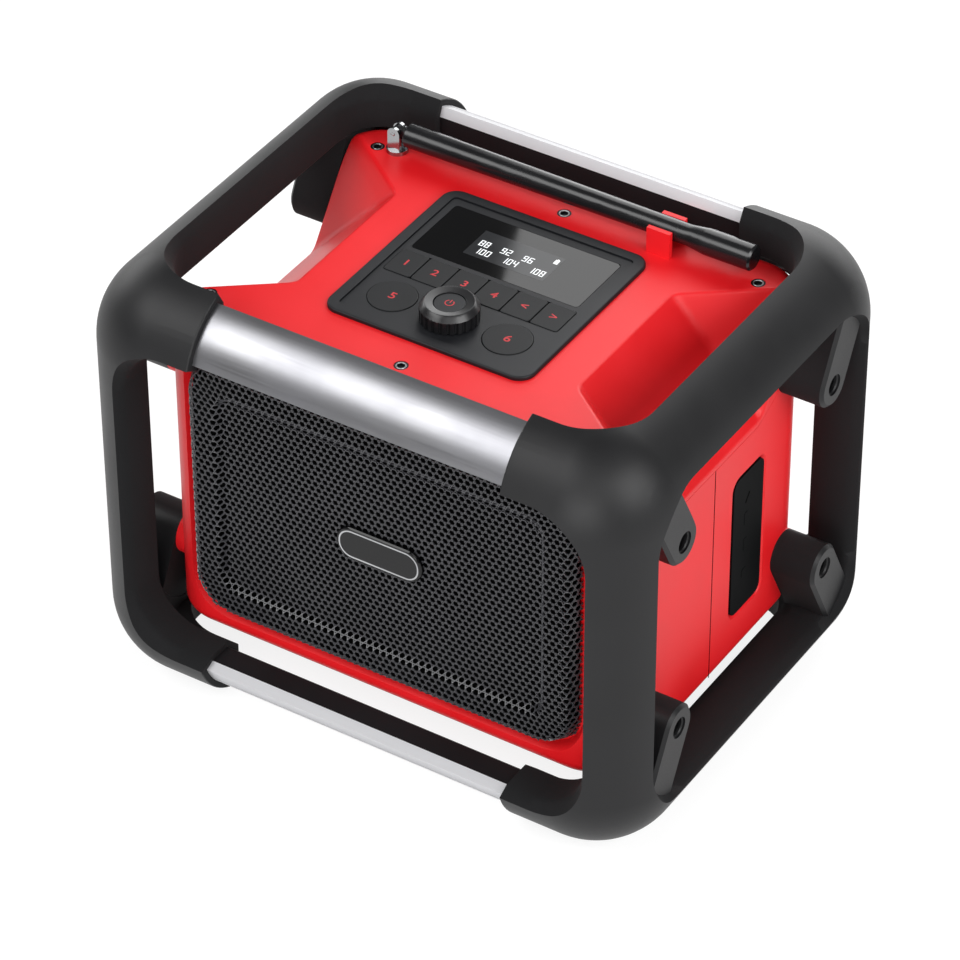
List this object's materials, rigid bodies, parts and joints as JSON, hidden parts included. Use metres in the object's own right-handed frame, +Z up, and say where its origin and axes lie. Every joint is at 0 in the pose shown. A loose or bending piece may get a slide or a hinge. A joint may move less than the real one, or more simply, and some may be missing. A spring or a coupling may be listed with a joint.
{
  "type": "jobsite radio",
  "caption": "Radio slung between two moulded protective end frames tied by cross bars, with a perforated speaker grille, a sunken control panel, hand scoops and a folding antenna.",
  "frame": {"origin": "on the floor, under the middle of the cage", "axes": "+X to the radio's right as its user faces it, -Y towards the front with the grille, +Z up"},
  "size_m": [0.366, 0.2914, 0.2787],
  "materials": {
    "frame_rubber": "matt textured",
    "black_steel": "satin",
    "red_plastic": "satin",
    "black_plastic": "satin",
    "grille_metal": "satin",
    "speaker_steel": "plain",
    "cone_paper": "matt",
    "panel_plastic": "satin",
    "window_plastic": "gloss",
    "board": "plain",
    "key_rubber": "matt",
    "shaft_steel": "turned",
    "knob_plastic": "satin",
    "bar_aluminium": "satin",
    "antenna_chrome": "polished",
    "antenna_plastic": "satin"
  },
  "bodies": {
    "radio": {"right_end_frame": "frame_rubber", "left_end_frame": "frame_rubber", "frame_screws": "black_steel", "front_shell": "red_plastic", "rear_shell": "red_plastic", "top_cover": "red_plastic", "cover_screws": "black_steel", "base_cover": "black_plastic", "speaker_grille": "grille_metal", "badge_plate": "black_plastic", "left_speaker": "speaker_steel", "right_speaker": "speaker_steel", "left_speaker_cone": "cone_paper", "right_speaker_cone": "cone_paper", "control_bezel": "panel_plastic", "control_fascia": "panel_plastic", "display_window": "window_plastic", "display_module": "panel_plastic", "control_board": "board", "key_mat": "key_rubber", "encoder": "shaft_steel", "port_panel": "black_plastic", "battery_bay": "black_plastic", "battery_pack": "black_plastic", "main_board": "board", "antenna_base": "antenna_chrome", "antenna_pin": "antenna_chrome", "front_top_bar_facing": "bar_aluminium", "front_top_bar_core": "black_plastic", "rear_top_bar_facing": "bar_aluminium", "rear_top_bar_core": "black_plastic", "front_bottom_bar_facing": "bar_aluminium", "front_bottom_bar_core": "black_plastic", "rear_bottom_bar_facing": "bar_aluminium", "rear_bottom_bar_core": "black_plastic"},
    "knob": {"tuning_knob": "knob_plastic"},
    "power_button": {"power_button": "panel_plastic"},
    "left_round_key": {"left_round_key": "key_rubber"},
    "right_round_key": {"right_round_key": "key_rubber"},
    "antenna": {"antenna_rod": "antenna_plastic"},
    "port_cover": {"port_cover": "key_rubber"},
    "battery_door": {"battery_door": "red_plastic"},
    "key_1": {"key_1": "key_rubber"},
    "key_2": {"key_2": "key_rubber"},
    "key_3": {"key_3": "key_rubber"},
    "key_4": {"key_4": "key_rubber"},
    "key_5": {"key_5": "key_rubber"},
    "key_6": {"key_6": "key_rubber"}
  },
  "joints": [
    {"name": "knob_turn", "type": "hinge", "parent": "radio", "child": "knob", "pos_m": [0, -0.0356, 0.259], "axis": [0, 0, 1], "continuous": true},
    {"name": "power_press", "type": "slide", "parent": "knob", "child": "power_button", "axis": [0, 0, -1], "range_m": [0, 0.0008], "stiffness_N_per_m": 1500, "springref_m": -0.0003},
    {"name": "key_1_press", "type": "slide", "parent": "radio", "child": "key_1", "axis": [0, 0, -1], "range_m": [0, 0.0008], "stiffness_N_per_m": 1500, "springref_m": -0.0003},
    {"name": "key_2_press", "type": "slide", "parent": "radio", "child": "key_2", "axis": [0, 0, -1], "range_m": [0, 0.0008], "stiffness_N_per_m": 1500, "springref_m": -0.0003},
    {"name": "key_3_press", "type": "slide", "parent": "radio", "child": "key_3", "axis": [0, 0, -1], "range_m": [0, 0.0008], "stiffness_N_per_m": 1500, "springref_m": -0.0003},
    {"name": "key_4_press", "type": "slide", "parent": "radio", "child": "key_4", "axis": [0, 0, -1], "range_m": [0, 0.0008], "stiffness_N_per_m": 1500, "springref_m": -0.0003},
    {"name": "key_5_press", "type": "slide", "parent": "radio", "child": "key_5", "axis": [0, 0, -1], "range_m": [0, 0.0008], "stiffness_N_per_m": 1500, "springref_m": -0.0003},
    {"name": "key_6_press", "type": "slide", "parent": "radio", "child": "key_6", "axis": [0, 0, -1], "range_m": [0, 0.0008], "stiffness_N_per_m": 1500, "springref_m": -0.0003},
    {"name": "left_round_key_press", "type": "slide", "parent": "radio", "child": "left_round_key", "axis": [0, 0, -1], "range_m": [0, 0.0008], "stiffness_N_per_m": 1500, "springref_m": -0.0003},
    {"name": "right_round_key_press", "type": "slide", "parent": "radio", "child": "right_round_key", "axis": [0, 0, -1], "range_m": [0, 0.0008], "stiffness_N_per_m": 1500, "springref_m": -0.0003},
    {"name": "antenna_tilt", "type": "hinge", "parent": "radio", "child": "antenna", "pos_m": [-0.114, 0.087, 0.265], "axis": [0, -1, 0], "range_deg": [0, 90]},
    {"name": "port_cover_hinge", "type": "hinge", "parent": "radio", "child": "port_cover", "pos_m": [0.1499, 0.0558, 0.1115], "axis": [0, 0, 1], "range_deg": [0, 95]},
    {"name": "battery_door_hinge", "type": "hinge", "parent": "radio", "child": "battery_door", "pos_m": [0, 0.11, 0.064], "axis": [-1, 0, 0], "range_deg": [0, 100]}
  ]
}
